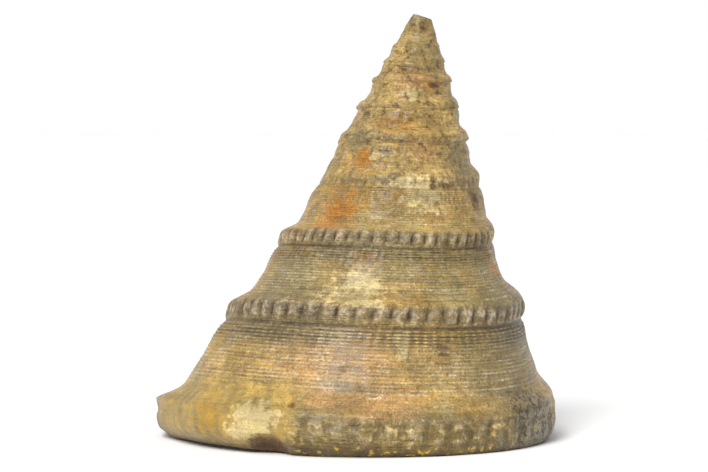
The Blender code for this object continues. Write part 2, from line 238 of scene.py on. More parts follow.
# Stains by kind, each with its azimuth in degrees, axis depth, half width and half height
STAINS = {
    "orange": ((231.0, 25.4, 3.3, 2.8), (237.0, 18.9, 1.6, 1.1), (244.5, 45.9, 1.0, 0.8),
               (339.4, 28.4, 2.2, 2.5)),
    "tawny": ((239.0, 19.3, 3.4, 2.2), (250.7, 14.8, 2.8, 1.0), (302.5, 9.9, 2.0, 1.0),
              (268.1, 22.3, 2.6, 0.8), (226.8, 22.6, 3.6, 0.8), (258.0, 29.5, 2.5, 0.8)),
    "cream": ((257.5, 32.5, 3.2, 1.6), (257.0, 34.2, 3.6, 0.8), (285.5, 21.9, 2.9, 2.0),
              (277.3, 38.0, 1.1, 1.8), (270.9, 11.2, 1.1, 0.9), (269.1, 21.1, 1.8, 0.7),
              (247.0, 18.4, 1.3, 0.7), (236.0, 47.9, 3.2, 2.0), (233.1, 49.8, 2.8, 1.2),
              (255.0, 2.6, 1.2, 0.5), (270.0, 2.3, 2.0, 0.25)),
    "smoke": ((292.8, 39.0, 1.3, 1.7), (324.9, 27.2, 1.8, 1.5), (258.0, 8.2, 3.4, 0.18),
              (215.6, 14.2, 1.2, 0.8), (253.7, 16.4, 1.1, 0.5), (252.8, 17.8, 1.4, 0.5)),
    "rust": ((292.5, 21.0, 0.8, 0.4), (303.1, 20.9, 0.8, 0.4), (331.8, 21.9, 1.4, 1.3),
             (302.5, 9.9, 0.9, 0.35), (246.0, 46.1, 0.6, 0.4), (238.5, 51.3, 3.2, 1.1)),
    "amber": ((219.0, 49.3, 3.2, 2.8), (229.0, 50.4, 2.0, 0.9), (196.0, 41.5, 1.6, 3.0)),
    "pitted": ((331.0, 45.5, 7.0, 4.6), (20.0, 42.0, 5.0, 3.5)),
    "pink": ((253.0, 41.0, 9.0, 3.6), (262.0, 44.5, 10.0, 2.2), (75.0, 42.0, 9.0, 4.0),
             (275.0, 9.6, 3.2, 1.8), (262.0, 14.4, 3.0, 1.4), (285.0, 17.0, 3.0, 1.4),
             (110.0, 14.0, 3.0, 2.0)),
    "honey": ((222.0, 46.5, 9.0, 4.0), (212.0, 43.0, 6.0, 4.0), (193.0, 43.0, 3.0, 6.5),
              (255.0, 34.5, 7.0, 1.6), (40.0, 44.0, 8.0, 5.0), (120.0, 30.0, 7.0, 5.0),
              (250.0, 23.0, 5.0, 2.4), (280.0, 15.0, 5.0, 2.5)),
    "grey": ((225.0, 38.0, 9.0, 3.2), (310.0, 47.0, 14.0, 3.0), (335.0, 36.0, 8.0, 7.0),
             (222.0, 34.6, 8.0, 2.2), (240.0, 29.0, 6.0, 2.4), (150.0, 40.0, 8.0, 5.0),
             (225.0, 17.0, 3.0, 1.6), (325.0, 18.0, 3.0, 3.0), (90.0, 22.0, 4.0, 4.0),
             (262.0, 48.0, 9.0, 1.6), (216.0, 32.2, 5.0, 3.2), (318.0, 41.0, 8.0, 4.5),
             (20.0, 15.0, 3.0, 2.0)),
}
STAIN_SQUARENESS = 3.0
HIDDEN_STAINS = {"orange": 6, "cream": 8, "smoke": 5, "rust": 5}
HIDDEN_AZIMUTHS = (-15.0, 165.0)
HIDDEN_DEPTHS = (8.0, 46.0)
HIDDEN_SIZES = (1.0, 3.2)
HIDDEN_FLATNESS = 0.6
HIDDEN_SEED = 5

# Colours of the stone
COLOURS = {
    "tan": (0.42, 0.262, 0.07, 1.0),
    "olive": (0.28, 0.205, 0.066, 1.0),
    "honey": (0.37, 0.225, 0.048, 1.0),
    "pink": (0.42, 0.23, 0.085, 1.0),
    "grey": (0.20, 0.158, 0.072, 1.0),
    "band": (0.158, 0.112, 0.055, 1.0),
    "moss": (0.20, 0.13, 0.014, 1.0),
    "cream": (0.53, 0.415, 0.19, 1.0),
    # Pale of the cord tops, partly the stone's own lines and partly painted highlight, and of the painted
    # highlight specks
    "pale_line_and_highlight": (0.60, 0.53, 0.35, 1.0),
    # Pale bead tops: painted highlight
    "bead_top_highlight": (0.50, 0.44, 0.34, 1.0),
    "orange": (0.41, 0.165, 0.018, 1.0),
    "tawny": (0.40, 0.21, 0.05, 1.0),
    "rust": (0.11, 0.048, 0.015, 1.0),
    "smoke": (0.095, 0.06, 0.03, 1.0),
    # Dark grains and pits of the stone, and painted shade in the furrows, net, bead gaps and under the
    # keels
    "dark_grain_and_crevice_shade": (0.05, 0.032, 0.012, 1.0),
    "mould": (0.45, 0.315, 0.085, 1.0),
    "amber": (0.40, 0.225, 0.028, 1.0),
    "umber": (0.25, 0.165, 0.05, 1.0),
    "slate": (0.19, 0.165, 0.10, 1.0),
    "gold": (0.51, 0.35, 0.125, 1.0),
    # Painted shade on the foot of the rim
    "foot": (0.085, 0.05, 0.012, 1.0),
    "yellow": (0.64, 0.40, 0.05, 1.0),
}

# Noises in space, with the size of their features in metres and their detail, and noises drawn
# out along the coil, with their scale and detail
GRAINS = {
    "cloud": (0.012, 3.0),
    "blotch": (0.006, 5.0),
    "mottle": (0.0035, 4.0),
    "speck": (0.0008, 3.0),
    "grit": (0.0005, 2.0),
    "dust": (0.00025, 2.0),
}
GRAIN_ROUGHNESS = 0.6
STREAKS = {"lines": (1.0, 3.0), "hairs": (2.3, 2.0)}

# How each layer of the stone follows a noise: two levels of the noise, and the share at each.
# The painted shade in the net follows two noises at once, so that its levels stand alone.
LAYERS = {
    "tan_clouds": ("cloud", 0.35, 0.6, 0.0, 1.0),
    "honey_clouds": ("blotch", 0.5, 0.68, 0.0, 0.7),
    "cream_clouds": ("blotch", 0.46, 0.3, 0.0, 0.6),
    "spire_gold": ("speck", 0.35, 0.6, 0.35, 0.85),
    "spire_pits": ("speck", 0.43, 0.33, 0.0, 0.75),
    "cloud_edge": ("mottle", 0.3, 0.7, -0.25, 0.25),
    "stain_edge": ("mottle", 0.25, 0.75, -0.22, 0.2),
    "stain_fray": ("speck", 0.3, 0.7, -0.4, 0.3),
    # Pale cord tops, partly painted highlight, and painted highlight specks along the hair lines
    "pale_ridge_tops_and_highlight": ("hairs", 0.38, 0.62, 0.0, 0.42),
    "painted_glints": ("grit", 0.57, 0.68, 0.0, 0.7),
    "painted_glint_lines": ("hairs", 0.45, 0.6, 0.0, 1.0),
    "dark_grains": ("grit", 0.40, 0.30, 0.0, 0.25),
    "band": ("mottle", 0.3, 0.65, 0.4125, 0.75),
    "moss": ("mottle", 0.3, 0.55, 0.24, 0.8),
    # Painted shade on the foot of the rim
    "foot": ("mottle", 0.35, 0.6, 1.0, 0.7),
    "yellow": ("speck", 0.58, 0.68, 0.0, 0.7),
    # Painted highlight on the bead tops
    "bead_top_highlight": ("speck", 0.42, 0.62, 0.05, 0.5),
    "dark_pits": ("grit", 0.52, 0.42, 0.0, 0.85),
    "bare_stone": ("mottle", 0.25, 0.55, 0.6, 1.0),
    "bare_amber": ("mottle", 0.42, 0.62, 0.0, 0.5),
    "bare_arcs": ("mottle", 0.35, 0.6, 0.85, 0.35),
    "net_breaks": ("mottle", 0.35, 0.6, 0.85, 1.1),
    # Painted shade in the furrows, the bead gaps and the lines under the keels
    "furrow": ("hairs", 0.4, 0.55, 0.0, 0.28),
    "gap": ("mottle", 0.4, 0.55, 0.65, 1.0),
    "seam": ("lines", 0.4, 0.55, 0.5, 1.0),
    "smoke_streaks": ("lines", 0.42, 0.56, 0.15, 1.0),
    "line_light": ("lines", 0.35, 0.65, 0.82, 1.16),
    "dust_light": ("dust", 0.3, 0.7, 0.8, 1.2),
    "mottle_light": ("mottle", 0.35, 0.65, 0.76, 1.15),
    "speck_light": ("speck", 0.32, 0.66, 0.84, 1.16),
    "roughness": ("speck", 0.3, 0.7, 0.32, 0.6),
}
# Painted shade in the net
NET_RISE = (0.4, 0.55, 0.05, 0.9)

# How clouds and stains rise from their edges to their middles; each kind has its own softness
CLOUD_RISE = (-0.15, 0.75, 0.0, 0.75)
STAIN_START = -0.05
STAIN_STRENGTH = 0.9
STAIN_SOFTNESS = {"tawny": 0.9, "orange": 0.6, "amber": 0.9, "cream": 0.35, "smoke": 0.6, "rust": 0.6}
PITTED_RISE = (0.0, 0.5)
SLATE_SHARE = 0.7
MATRIX_SHARE = 0.7
BARE_SHARE = 0.85
MOULD_EVENNESS = 0.45

# Surface of the stone, its bump in metres, and the paper of the stage
SPECULAR_LEVEL = 0.35
COAT_WEIGHT = 0.18
COAT_ROUGHNESS = 0.15
SUBSURFACE_WEIGHT = 0.12
SUBSURFACE_REACH = (1.0, 0.55, 0.2)
SUBSURFACE_DEPTH = 0.0012
BUMP_WEIGHTS = {"grit": 1.0, "hairs": 1.2, "dust": 0.4}
BUMP_HEIGHT = 0.00022
PAPER_SHADE = 0.99
PAPER_ROUGHNESS = 0.9

# Stage, lights and camera, placed in metres; the camera stands where the photograph was taken
FLOOR_SIZE = 40.0
HORIZON_LIGHT = 1.0
SKY_LIGHT = 0.5
HORIZON_HEIGHTS = (0.04, 0.35)
SUN_PLACE = (-0.28, -0.74, 0.62)
SUN_LIGHT = 2.65
SUN_WIDTH = math.radians(30.0)
WINDOW_PLACE = (-0.22, -0.36, 0.58)
WINDOW_SIZE = 0.14
WINDOW_LIGHT = 0.9
IMAGE_WIDTH = 708
CAMERA_PLACE = (-0.00025, -0.3195, 0.0349)
CAMERA_PITCH = 0.0375
FOCAL_PIXELS = 2824.0
SENSOR_MM = 36.0


def smooth(low, high, value):
    """Rise from 0 to 1 between low and high, level at both ends."""
    share = np.clip((value - low) / (high - low), 0.0, 1.0)
    return share * share * (3.0 - 2.0 * share)


def bell(value, centre, spread):
    return np.exp(-(((value - centre) / spread) ** 2))


def mix(first, second, share):
    return first + (second - first) * share


def keel_depth(turns):
    return MOUTH_KEEL_DEPTH * np.exp(-GROWTH * turns)


def azimuth_at(turns):
    return MOUTH_AZIMUTH + 2.0 * math.pi * turns


def cone_ratio(depth):
    """Radius of a keel as a share of its depth."""
    skirt = SKIRT_RATIO * smooth(*SKIRT_DEPTHS, depth)
    waist = WAIST_RATIO * bell(np.log(depth), math.log(WAIST_DEPTH), WAIST_SPREAD)
    return SPIRE_RATIO + skirt - waist


def turn_between(azimuth, centre):
    """Angle from centre to azimuth, between half a turn back and half a turn on."""
    return np.angle(np.exp(1j * (azimuth - centre)))


def left_share(azimuth):
    """1 in the middle of the left side, falling to 0 round the shell."""
    return bell(turn_between(azimuth, LEFT_AZIMUTH), 0.0, LEFT_SPREAD)


def worn_share(azimuth, depth):
    """How much of the relief is rubbed away on the left side."""
    return left_share(azimuth) * bell(np.log(depth), math.log(WORN_DEPTH), WORN_DEPTH_SPREAD)


def left_loss(azimuth, depth):
    """Share of the radius that the slimmer left side lacks."""
    inside = smooth(*LEFT_DEPTHS[:2], depth) - smooth(*LEFT_DEPTHS[2:], depth)
    return LEFT_LOSS * left_share(azimuth) * inside


def whorl_relief(down, azimuth, depth):
    """Loss of radius between two keels: shoulder, groove, hollow flank and ledge."""
    place = down % 1.0
    high = 1.0 - smooth(*LEDGE_CHANGE_DEPTHS, depth)
    sway = -LEDGE_SWAY * np.cos(azimuth)
    ledge_start = mix(LEDGE_SPAN_LOW[0], LEDGE_SPAN_HIGH[0], high) + sway
    ledge_end = mix(LEDGE_SPAN_LOW[1], LEDGE_SPAN_HIGH[1], high) + sway
    loss = SHOULDER_DROP * smooth(*SHOULDER_SPAN, place)
    loss = loss + FLANK_DROP * smooth(*FLANK_SPAN, place)
    loss = loss * (1.0 - smooth(ledge_start, ledge_end, place))
    deep = smooth(*DEEP_FLANK_DEPTHS[:2], depth) - smooth(*DEEP_FLANK_DEPTHS[2:], depth)
    full = bell(np.log(depth), math.log(FULL_WHORL_DEPTH), FULL_WHORL_SPREAD)
    gain = 1.0 + DEEP_FLANK_GAIN * deep - FULL_WHORL_GAIN * full
    groove = GROOVE_DEPTH * bell(place, GROOVE_PLACE, GROOVE_WIDTH)
    return (loss * gain + groove) * smooth(*WORN_TIP_DEPTHS, depth)


def spire_share(depth):
    """1 on the rough, weathered spire, 0 on the lower whorls."""
    return 1.0 - smooth(*SPIRE_WEAR_DEPTHS, depth)


def mould_share(turns):
    return smooth(*MOULD_TURNS[:2], turns) - smooth(*MOULD_TURNS[2:], turns)


def mould_arcs(turns, down):
    """1 on each growth rib that shows in the bare mould."""
    wave = np.cos(2.0 * math.pi * ARCS_PER_TURN * (turns - ARC_SLANT * down))
    return mould_share(turns) * (0.5 + 0.5 * wave)


def rim_share(turns):
    """1 where the keel is the rim of the base, 0 where a whorl lies below it."""
    return 1.0 - smooth(*RIM_FADE_TURNS, turns)


def relief_size(depth):
    """Size of beads, cords and wear, which grow with the shell, against those at the mouth."""
    return np.sqrt(depth / MOUTH_KEEL_DEPTH)


def rim_drop(turns):
    """Depth of the rim below the last keel, as a share of the keel's depth."""
    return np.minimum(RIM_DROP_AT_MOUTH + RIM_DROP_GROWTH * turns, RIM_DROP_MOST)


def bead_band(turns, down):
    """1 on the band that carries the beads; on the last keel it lies lower, on the rim."""
    down = down - BEAD_RIM_SHIFT * rim_share(turns)
    return smooth(*BEAD_BAND[:2], down) * (1.0 - smooth(*BEAD_BAND[2:], down))


def bead_relief(turns, down, amount):
    """Height of the beads, and marks that are 1 on each bead and in each gap."""
    bead_count = int(BEADS_PER_TURN * TURNS) + SPARE_BEADS
    heights = np.random.RandomState(BEAD_SEED).uniform(*BEAD_HEIGHTS, bead_count)
    along = BEADS_PER_TURN * (turns + BEAD_SLANT * down)
    number = np.rint(along).astype(int)
    dome = 1.0 - (2.0 * np.abs(along - number)) ** BEAD_FLATNESS
    raised = dome * heights[np.maximum(number, 0)] - BEAD_SUNK_SHARE
    # The marks carry painted highlight on the bead tops and painted shade in the gaps
    return BEAD_HEIGHT * raised * amount, dome * amount, (1.0 - dome) * amount


def seam_share(turns, down):
    """1 on the line of painted shade under each keel, which runs above the beads on the last."""
    rim = rim_share(turns)
    under = bell(down % 1.0, SEAM_PLACE, SEAM_WIDTH) * (1.0 - rim * (down > 0.0))
    return np.maximum(under, RIM_SEAM_SHARE * bell(down, RIM_SEAM_PLACE, SEAM_WIDTH) * rim)


def flank_share(place):
    """1 on the flank between two keels, 0 on the keels."""
    start = smooth(CORD_SPAN[0] - CORD_FADE, CORD_SPAN[0] + CORD_FADE, place)
    return start * (1.0 - smooth(CORD_SPAN[1] - CORD_FADE, CORD_SPAN[1] + CORD_FADE, place))


def cord_relief(turns, place, fade):
    """Height of cords and riblets, and the marks that colour them."""
    flank = flank_share(place)
    net = flank * (1.0 - smooth(*NET_SPAN, place))
    cord = CORDS * (place - CORD_SPAN[0]) / (CORD_SPAN[1] - CORD_SPAN[0])
    ridge = 0.5 - 0.5 * math.cos(2.0 * math.pi * cord)
    riblet = 0.5 + 0.5 * np.cos(2.0 * math.pi * RIBLETS_PER_TURN * turns)
    height = mix(CORD_HEIGHT_LOW, CORD_HEIGHT_TOP, net) * flank * (ridge - 0.5)
    height = height + RIBLET_HEIGHT * net * (riblet - 0.5)
    marks = {
        # ridge marks the pale cord tops, partly painted highlight; furrow and net mark where painted shade
        # goes
        "ridge": flank * ridge * fade,
        "furrow": flank * (1.0 - ridge) * fade,
        "net": net * np.maximum(1.0 - ridge, RIBLET_GAP_SHARE * (1.0 - riblet)) * fade,
    }
    return height * fade, marks


def keel_rounding(turns, down, depth):
    """Height that rounds the keels above the last."""
    height = sum(amount * bell(down, centre, spread) for centre, spread, amount in KEEL_ROUNDING)
    return height * (1.0 - rim_share(turns)) * smooth(*SPIRE_FADE_DEPTHS, depth)


def side_relief(turns, down, azimuth, depth):
    """Height of all relief on the side of the shell, and the marks that colour it."""
    worn = worn_share(azimuth, depth)
    band = bead_band(turns, down)
    last = 1.0 - (1.0 - BEAD_LAST_SHARE) * smooth(*BEAD_LAST_DEPTHS, depth)
    fresh = smooth(*MOULD_TURNS[2:], turns) * smooth(*BEAD_WORN_DEPTHS, depth) * (1.0 - worn)
    beads, crest, gap = bead_relief(turns, down, band * fresh * last)
    bare_band = smooth(*MOULD_BAND, down)
    mould = mould_share(turns) * bare_band
    fade = (1.0 - worn) * (1.0 - MOULD_CORD_LOSS * mould) * smooth(*SPIRE_FADE_DEPTHS, depth)
    cords, marks = cord_relief(turns, down % 1.0, fade)
    marks.update({
        "band": band * (1.0 - worn),
        "bead": crest,
        "gap": gap,
        "seam": fade * seam_share(turns, down),
        "under": smooth(*MOSS_SPAN, down) * band,
        "mould": mould,
        "arc": mould_arcs(turns, down) * bare_band,
    })
    return (beads + cords + keel_rounding(turns, down, depth)) * relief_size(depth), marks


def cut_tip(x, depth):
    """Nothing stands above the slanting break at the tip."""
    return np.maximum(depth, TIP_CUT_DEPTH + TIP_CUT_SLOPE * x)


def stand(radius, azimuth, depth):
    """Turn radius, azimuth and depth into points of the leaning shell, above the floor."""
    x = radius * np.cos(azimuth)
    y = radius * np.sin(azimuth)
    z = -cut_tip(x, depth)
    across = x * math.cos(LEAN) + z * math.sin(LEAN) + START_X
    height = z * math.cos(LEAN) - x * math.sin(LEAN) + FLOOR_DEPTH
    return np.stack((across, y + START_Y, np.maximum(height, 0.0)), axis=-1)


def carve_notch(points):
    """Push the surface back from a centre just outside the rim, which leaves an arched hollow."""
    outward = np.array((math.cos(NOTCH_AZIMUTH), math.sin(NOTCH_AZIMUTH), 0.0))
    axes = np.stack((outward, (-outward[1], outward[0], 0.0), (0.0, 0.0, 1.0)))
    centre = stand(NOTCH_RADIUS, NOTCH_AZIMUTH, FLOOR_DEPTH / math.cos(LEAN))
    centre[2] = 0.0
    local = (points - centre) @ axes.T / np.array(NOTCH_SIZE)
    distance = np.linalg.norm(local, axis=-1, keepdims=True)
    pushed = NOTCH_FILL + (1.0 - NOTCH_FILL) * distance
    scale = np.where(distance < 1.0, pushed / np.maximum(distance, NOTCH_LEAST_DISTANCE), 1.0)
    return centre + (local * scale * np.array(NOTCH_SIZE)) @ axes


def noise_at(points, size):
    """Smooth noise between about -1 and 1, with features of the given size."""
    return np.array([noise.noise(Vector(point) / size) for point in points])


def wear(points, azimuth, depth):
    """Unevenness, small pits and a few larger holes, in millimetres."""
    height = sum(amount * noise_at(points, size) for size, amount in WEAR_SIZES)
    height = height - PIT_DEPTH * smooth(*PIT_LEVELS, noise_at(points, PIT_SIZE))
    rough = sum(amount * noise_at(points, size) for size, amount in SPIRE_WEAR_SIZES)
    height = height + rough * spire_share(depth)
    for hole_azimuth, hole_depth, size, deep in HOLES:
        around = turn_between(azimuth, math.radians(hole_azimuth)) * SPIRE_RATIO * depth
        height = height - deep * bell(np.hypot(around, depth - hole_depth), 0.0, size)
    return height


class Surface:
    """The shell's vertices, marks and faces, gathered row by row."""

    def __init__(self):
        self.points = []
        self.places = []
        self.marks = []
        self.faces = []
        self.count = 0

    def add_points(self, points, places, marks):
        """Add vertices, with their turns, down, azimuth and depth, and give their numbers."""
        self.points.append(points)
        columns = [np.broadcast_to(place, len(points)) for place in places]
        self.places.append(np.stack(columns, axis=-1))
        self.marks.append(marks)
        self.count += len(points)
        return range(self.count - len(points), self.count)

    def add_row(self, turns, down, radius, depth, marks):
        """Add a row, worn and carved, as pairs of turns and vertex number."""
        azimuth = azimuth_at(turns)
        size = relief_size(depth) * smooth(0.0, CALM_RADIUS, radius)
        clean = stand(radius, azimuth, depth)
        worn = stand(radius + wear(clean, azimuth, depth) * size, azimuth, depth)
        numbers = self.add_points(carve_notch(worn), (turns, down, azimuth, depth), marks)
        return list(zip(turns, numbers))

    def face(self, a, b, c):
        if a != b and b != c and a != c:
            self.faces.append((a, b, c))

    def join_rows(self, upper, lower):
        """Join two rows with triangles, stepping along whichever row comes next."""
        i = 0
        j = 0
        while i < len(upper) - 1 or j < len(lower) - 1:
            if upper_comes_next(upper, lower, i, j):
                self.face(upper[i + 1][1], upper[i][1], lower[j][1])
                i += 1
            else:
                self.face(lower[j + 1][1], upper[i][1], lower[j][1])
                j += 1

    def mark(self, name):
        """One mark for every vertex, 0 where a row doesn't carry it."""
        columns = [np.broadcast_to(marks.get(name, 0.0), len(points))
                   for points, marks in zip(self.points, self.marks)]
        return np.concatenate(columns)


def upper_comes_next(upper, lower, i, j):
    """Which of two rows to step along; where both are level, the diagonals alternate."""
    if i == len(upper) - 1 or j == len(lower) - 1:
        return i < len(upper) - 1
    lead = upper[i + 1][0] - lower[j + 1][0]
    if abs(lead) > LEVEL_TURNS:
        return lead < 0.0
    offset = upper[i][0] - lower[j][0]
    if abs(offset) > LEVEL_TURNS:
        return offset < 0.0
    return i % 2 == 0


def column_turns(last):
    """Places along the coil up to the last, closer together near the mouth."""
    places = [0.0]
    for start, end, per_turn in COLUMNS:
        end = min(end, last)
        if end > start:
            places.extend(np.linspace(start, end, round((end - start) * per_turn) + 1)[1:])
    return np.array(places)


def reach_of(number):
    """How far up the coil a row of the flank runs."""
    if number % LONG_ROW_STEP == 0:
        return TURNS
    return MIDDLE_ROWS_TO if number % MIDDLE_ROW_STEP == 0 else SHORT_ROWS_TO


def rows_down():
    """How far down each row of a whorl lies, and how far up the coil the row runs."""
    cord_step = (CORD_SPAN[1] - CORD_SPAN[0]) / (2 * CORDS)
    band_step = (1.0 - CORD_SPAN[1] + CORD_SPAN[0]) / BAND_ROWS
    rows = [(CORD_SPAN[0] - 1.0 + number * cord_step, reach_of(number)) for number in range(2 * CORDS)]
    for number in range(BAND_ROWS):
        reach = TURNS if (number + 1) % MIDDLE_ROW_STEP == 0 else MIDDLE_ROWS_TO
        rows.append((CORD_SPAN[1] - 1.0 + number * band_step, reach))
    return rows


def last_down():
    return rows_down()[-1][0]


def side_row(surface, turns, down):
    """One row of the side of the shell."""
    depth = keel_depth(turns) * math.exp(GROWTH * down)
    azimuth = azimuth_at(turns)
    worn = worn_share(azimuth, depth)
    share = 1.0 - mix(whorl_relief(down, azimuth, depth), WORN_LOSS, worn) - left_loss(azimuth, depth)
    radius = cone_ratio(depth) * depth * share
    if down > 0.0:
        drop_share = math.expm1(GROWTH * down) / (RIM_SHAPE[1][1] * rim_drop(turns))
        bulge = 1.0 + (RIM_SHAPE[1][0] - 1.0) * drop_share
        rim_radius = cone_ratio(keel_depth(turns)) * keel_depth(turns) * bulge
        radius = np.where(turns < 1.0, mix(radius, rim_radius, rim_share(turns)), radius)
    height, marks = side_relief(turns, down, azimuth, depth)
    height = height + LOBE_HEIGHT * bell(turns, *LOBE_TURNS) * bell(down, *LOBE_DOWN)
    return surface.add_row(turns, down, radius - MOULD_LOSS * marks["mould"] + height, depth, marks)


def curve_through(points, share):
    """Smooth curve through evenly spaced points, at shares from 0 to 1."""
    points = np.array(points)
    step = share * (len(points) - 1)
    index = np.minimum(step.astype(int), len(points) - 2)
    along = (step - index)[:, None]
    before, first = points[np.maximum(index - 1, 0)], points[index]
    second, after = points[index + 1], points[np.minimum(index + 2, len(points) - 1)]
    linear = (second - before) * along
    square = (2.0 * before - 5.0 * first + 4.0 * second - after) * along ** 2
    cube = (3.0 * first - before - 3.0 * second + after) * along ** 3
    return (first + 0.5 * (linear + square + cube)).T


def rim_place(turns, share):
    """Radius and depth on the rounded rim under the last keel."""
    rim = rim_share(turns)
    spacing = 1.0 / (len(RIM_SHAPE) - 1)
    start = spacing * math.expm1(GROWTH * last_down()) / (RIM_SHAPE[1][1] * rim_drop(turns)) + RIM_START_GAP
    place = mix(mix(spacing, start, rim), 1.0, share)
    across, drop = curve_through(RIM_SHAPE, place)
    bare_across, bare_drop = curve_through(BARE_RIM_SHAPE, place)
    depth = keel_depth(turns)
    loss = MOULD_LOSS * mould_share(turns)
    radius = cone_ratio(depth) * depth * mix(bare_across, across, rim) - loss
    return radius, depth * (1.0 + mix(bare_drop, drop * rim_drop(turns), rim)) - MOULD_RIM_SHARE * loss


def rim_row(surface, turns, share):
    """One row of the rim: the beads fade out on its way down."""
    radius, depth = rim_place(turns, share)
    fresh = smooth(*MOULD_TURNS[2:], turns) * rim_share(turns)
    amount = BEAD_LAST_SHARE * (1.0 - smooth(*BEAD_RIM_FADE, share)) * fresh
    down = last_down() + RIM_BEAD_SPAN * share
    beads, crest, gap = bead_relief(turns, down, amount)
    bare = mould_share(turns)
    # Painted shade on the foot of the rim, lower down under the bare mould
    foot = mix(smooth(*FOOT_SPAN, share), smooth(*BARE_FOOT_SPAN, share), bare)
    marks = {"band": 1.0, "bead": crest, "gap": gap, "under": 1.0, "mould": bare * (1.0 - foot),
             "arc": mould_arcs(turns, down), "foot": foot}
    return surface.add_row(turns, down, radius + beads, depth, marks)


def base_centre_depth(turns):
    drop = mix(BASE_DROP_AT_MOUTH, BASE_DROP, smooth(0.0, BASE_DROP_TURNS, turns))
    return keel_depth(turns) * (1.0 + drop)


def base_row(surface, turns, across):
    """One row of the hollow base, across being the share of the keel radius."""
    rim_depth = rim_place(turns, 1.0)[1]
    radius = across * cone_ratio(keel_depth(turns)) * keel_depth(turns)
    depth = mix(base_centre_depth(turns), rim_depth, smooth(*BASE_HOLLOW_SPAN, across))
    return surface.add_row(turns, BASE_DOWN - across, radius, depth, {"base": 1.0})


def pillar_row(surface, turns, share):
    """One row of the central pillar: share 0 is its foot on the base, 1 its end."""
    radius = np.full_like(turns, mix(PILLAR_FOOT_RADIUS, PILLAR_END_RADIUS, math.sqrt(share)))
    depth = mix(base_centre_depth(turns), PILLAR_END_DEPTH, share)
    return surface.add_row(turns, mix(*PILLAR_DOWN, share), radius, depth, {"base": 1.0})


def add_side(surface):
    """All rows of the coil; a row that ends early is carried on by the next one that doesn't."""
    built = [side_row(surface, column_turns(reach), down) for down, reach in rows_down()]
    carried = [built[-1]]
    for row in reversed(built[:-1]):
        rest = [pair for pair in carried[0] if pair[0] > row[-1][0] + LEVEL_TURNS]
        carried.insert(0, row + rest)
    for upper, lower in zip(carried, carried[1:]):
        surface.join_rows(upper, lower)
    return carried


def add_base(surface, coil_start):
    """Rows of the base for the last turn; the first row ends where the coil's top row starts."""
    turns = column_turns(1.0)
    rows = [rim_row(surface, turns, share) for share in np.linspace(0.0, 1.0, RIM_ROWS)]
    for across in np.linspace(BASE_EDGE, BASE_MIDDLE, BASE_ROWS + 1)[1:]:
        rows.append(base_row(surface, turns[::BASE_COLUMN_STEP], across))
    for share in np.linspace(0.0, 1.0, PILLAR_ROWS):
        rows.append(pillar_row(surface, turns[::PILLAR_COLUMN_STEP], share))
    rows[0][-1] = (1.0, coil_start)
    rows[-1][-1] = (1.0, rows[-1][0][1])
    zero = np.zeros(1)
    tip = surface.add_row(zero, PILLAR_TIP_DOWN, zero, zero + PILLAR_TIP_DEPTH, {"base": 1.0})
    for (_, first), (_, second) in zip(rows[-1], rows[-1][1:]):
        surface.face(second, first, tip[0][1])
    for upper, lower in zip(rows, rows[1:]):
        surface.join_rows(upper, lower)
    return rows


def join_turns(surface, side, base):
    """Join the foot of each keel to the groove one turn nearer the mouth, or to the rim."""
    below = base[0][:-1] + [(turns + 1.0, vertex) for turns, vertex in side[0]]
    surface.join_rows(side[-1], [pair for pair in below if pair[0] <= TURNS + LEVEL_TURNS])


def cap_tip(surface, side):
    """Close the broken tip with a fan round one middle vertex."""
    edge = [vertex for turns, vertex in side[0] if turns >= TURNS - 1.0 - LEVEL_TURNS]
    for row in side[1:]:
        if row[-1][1] not in edge:
            edge.append(row[-1][1])
    points = np.concatenate(surface.points)
    middle = points[edge].mean(axis=0, keepdims=True)
    centre = surface.add_points(middle, (TURNS, 0.0, 0.0, TIP_CUT_DEPTH), {})[0]
    for first, second in zip(edge, edge[1:] + edge[:1]):
        surface.face(first, second, centre)


def column_along(points, numbers, shares):
    """Points at shares of the way along a column of vertices, and each vertex's own share."""
    column = points[numbers]
    along = np.concatenate(([0.0], np.cumsum(np.linalg.norm(np.diff(column, axis=0), axis=1))))
    places = along / along[-1]
    return np.stack([np.interp(shares, places, column[:, axis]) for axis in range(3)], axis=-1), places


def fill_mouth(surface, side, base):
    """Close the mouth with rough matrix, hollowed a little between its edge and the whorl inside."""
    points = np.concatenate(surface.points)
    outer = [row[0][1] for row in side + base]
    inner = [side[0][0][1]] + [row[-1][1] for row in base[1:]]
    shares = np.linspace(0.0, 1.0, MOUTH_STEPS + 1)
    outer_points, outer_places = column_along(points, outer, shares)
    inner_points, inner_places = column_along(points, inner, shares)
    inward = np.array((-math.sin(MOUTH_AZIMUTH), math.cos(MOUTH_AZIMUTH), 0.0))
    previous = list(zip(outer_places, outer))
    for number in range(1, MOUTH_COLUMNS + 1):
        across = number / (MOUTH_COLUMNS + 1)
        column = mix(outer_points, inner_points, across)[1:-1]
        radius = np.hypot(column[:, 0] - START_X, column[:, 1] - START_Y)
        bay = np.sin(math.pi * shares[1:-1]) * math.sin(math.pi * across)
        hollow = math.tan(MOUTH_RECESS) * radius + MATRIX_LUMP_HEIGHT * noise_at(column, MATRIX_LUMP_SIZE)
        column = column + (bay * hollow)[:, None] * inward
        depth = np.maximum(FLOOR_DEPTH - column[:, 2], MATRIX_LEAST_DEPTH)
        places = (0.0, mix(*MATRIX_DOWN, across), MOUTH_AZIMUTH + across, depth)
        vertices = surface.add_points(column, places, {"matrix": 1.0, "base": MATRIX_STAIN_LOSS})
        current = [(0.0, outer[0])] + list(zip(shares[1:-1], vertices)) + [(1.0, outer[-1])]
        surface.join_rows(current, previous)
        previous = current
    surface.join_rows(list(zip(inner_places, inner)), previous)


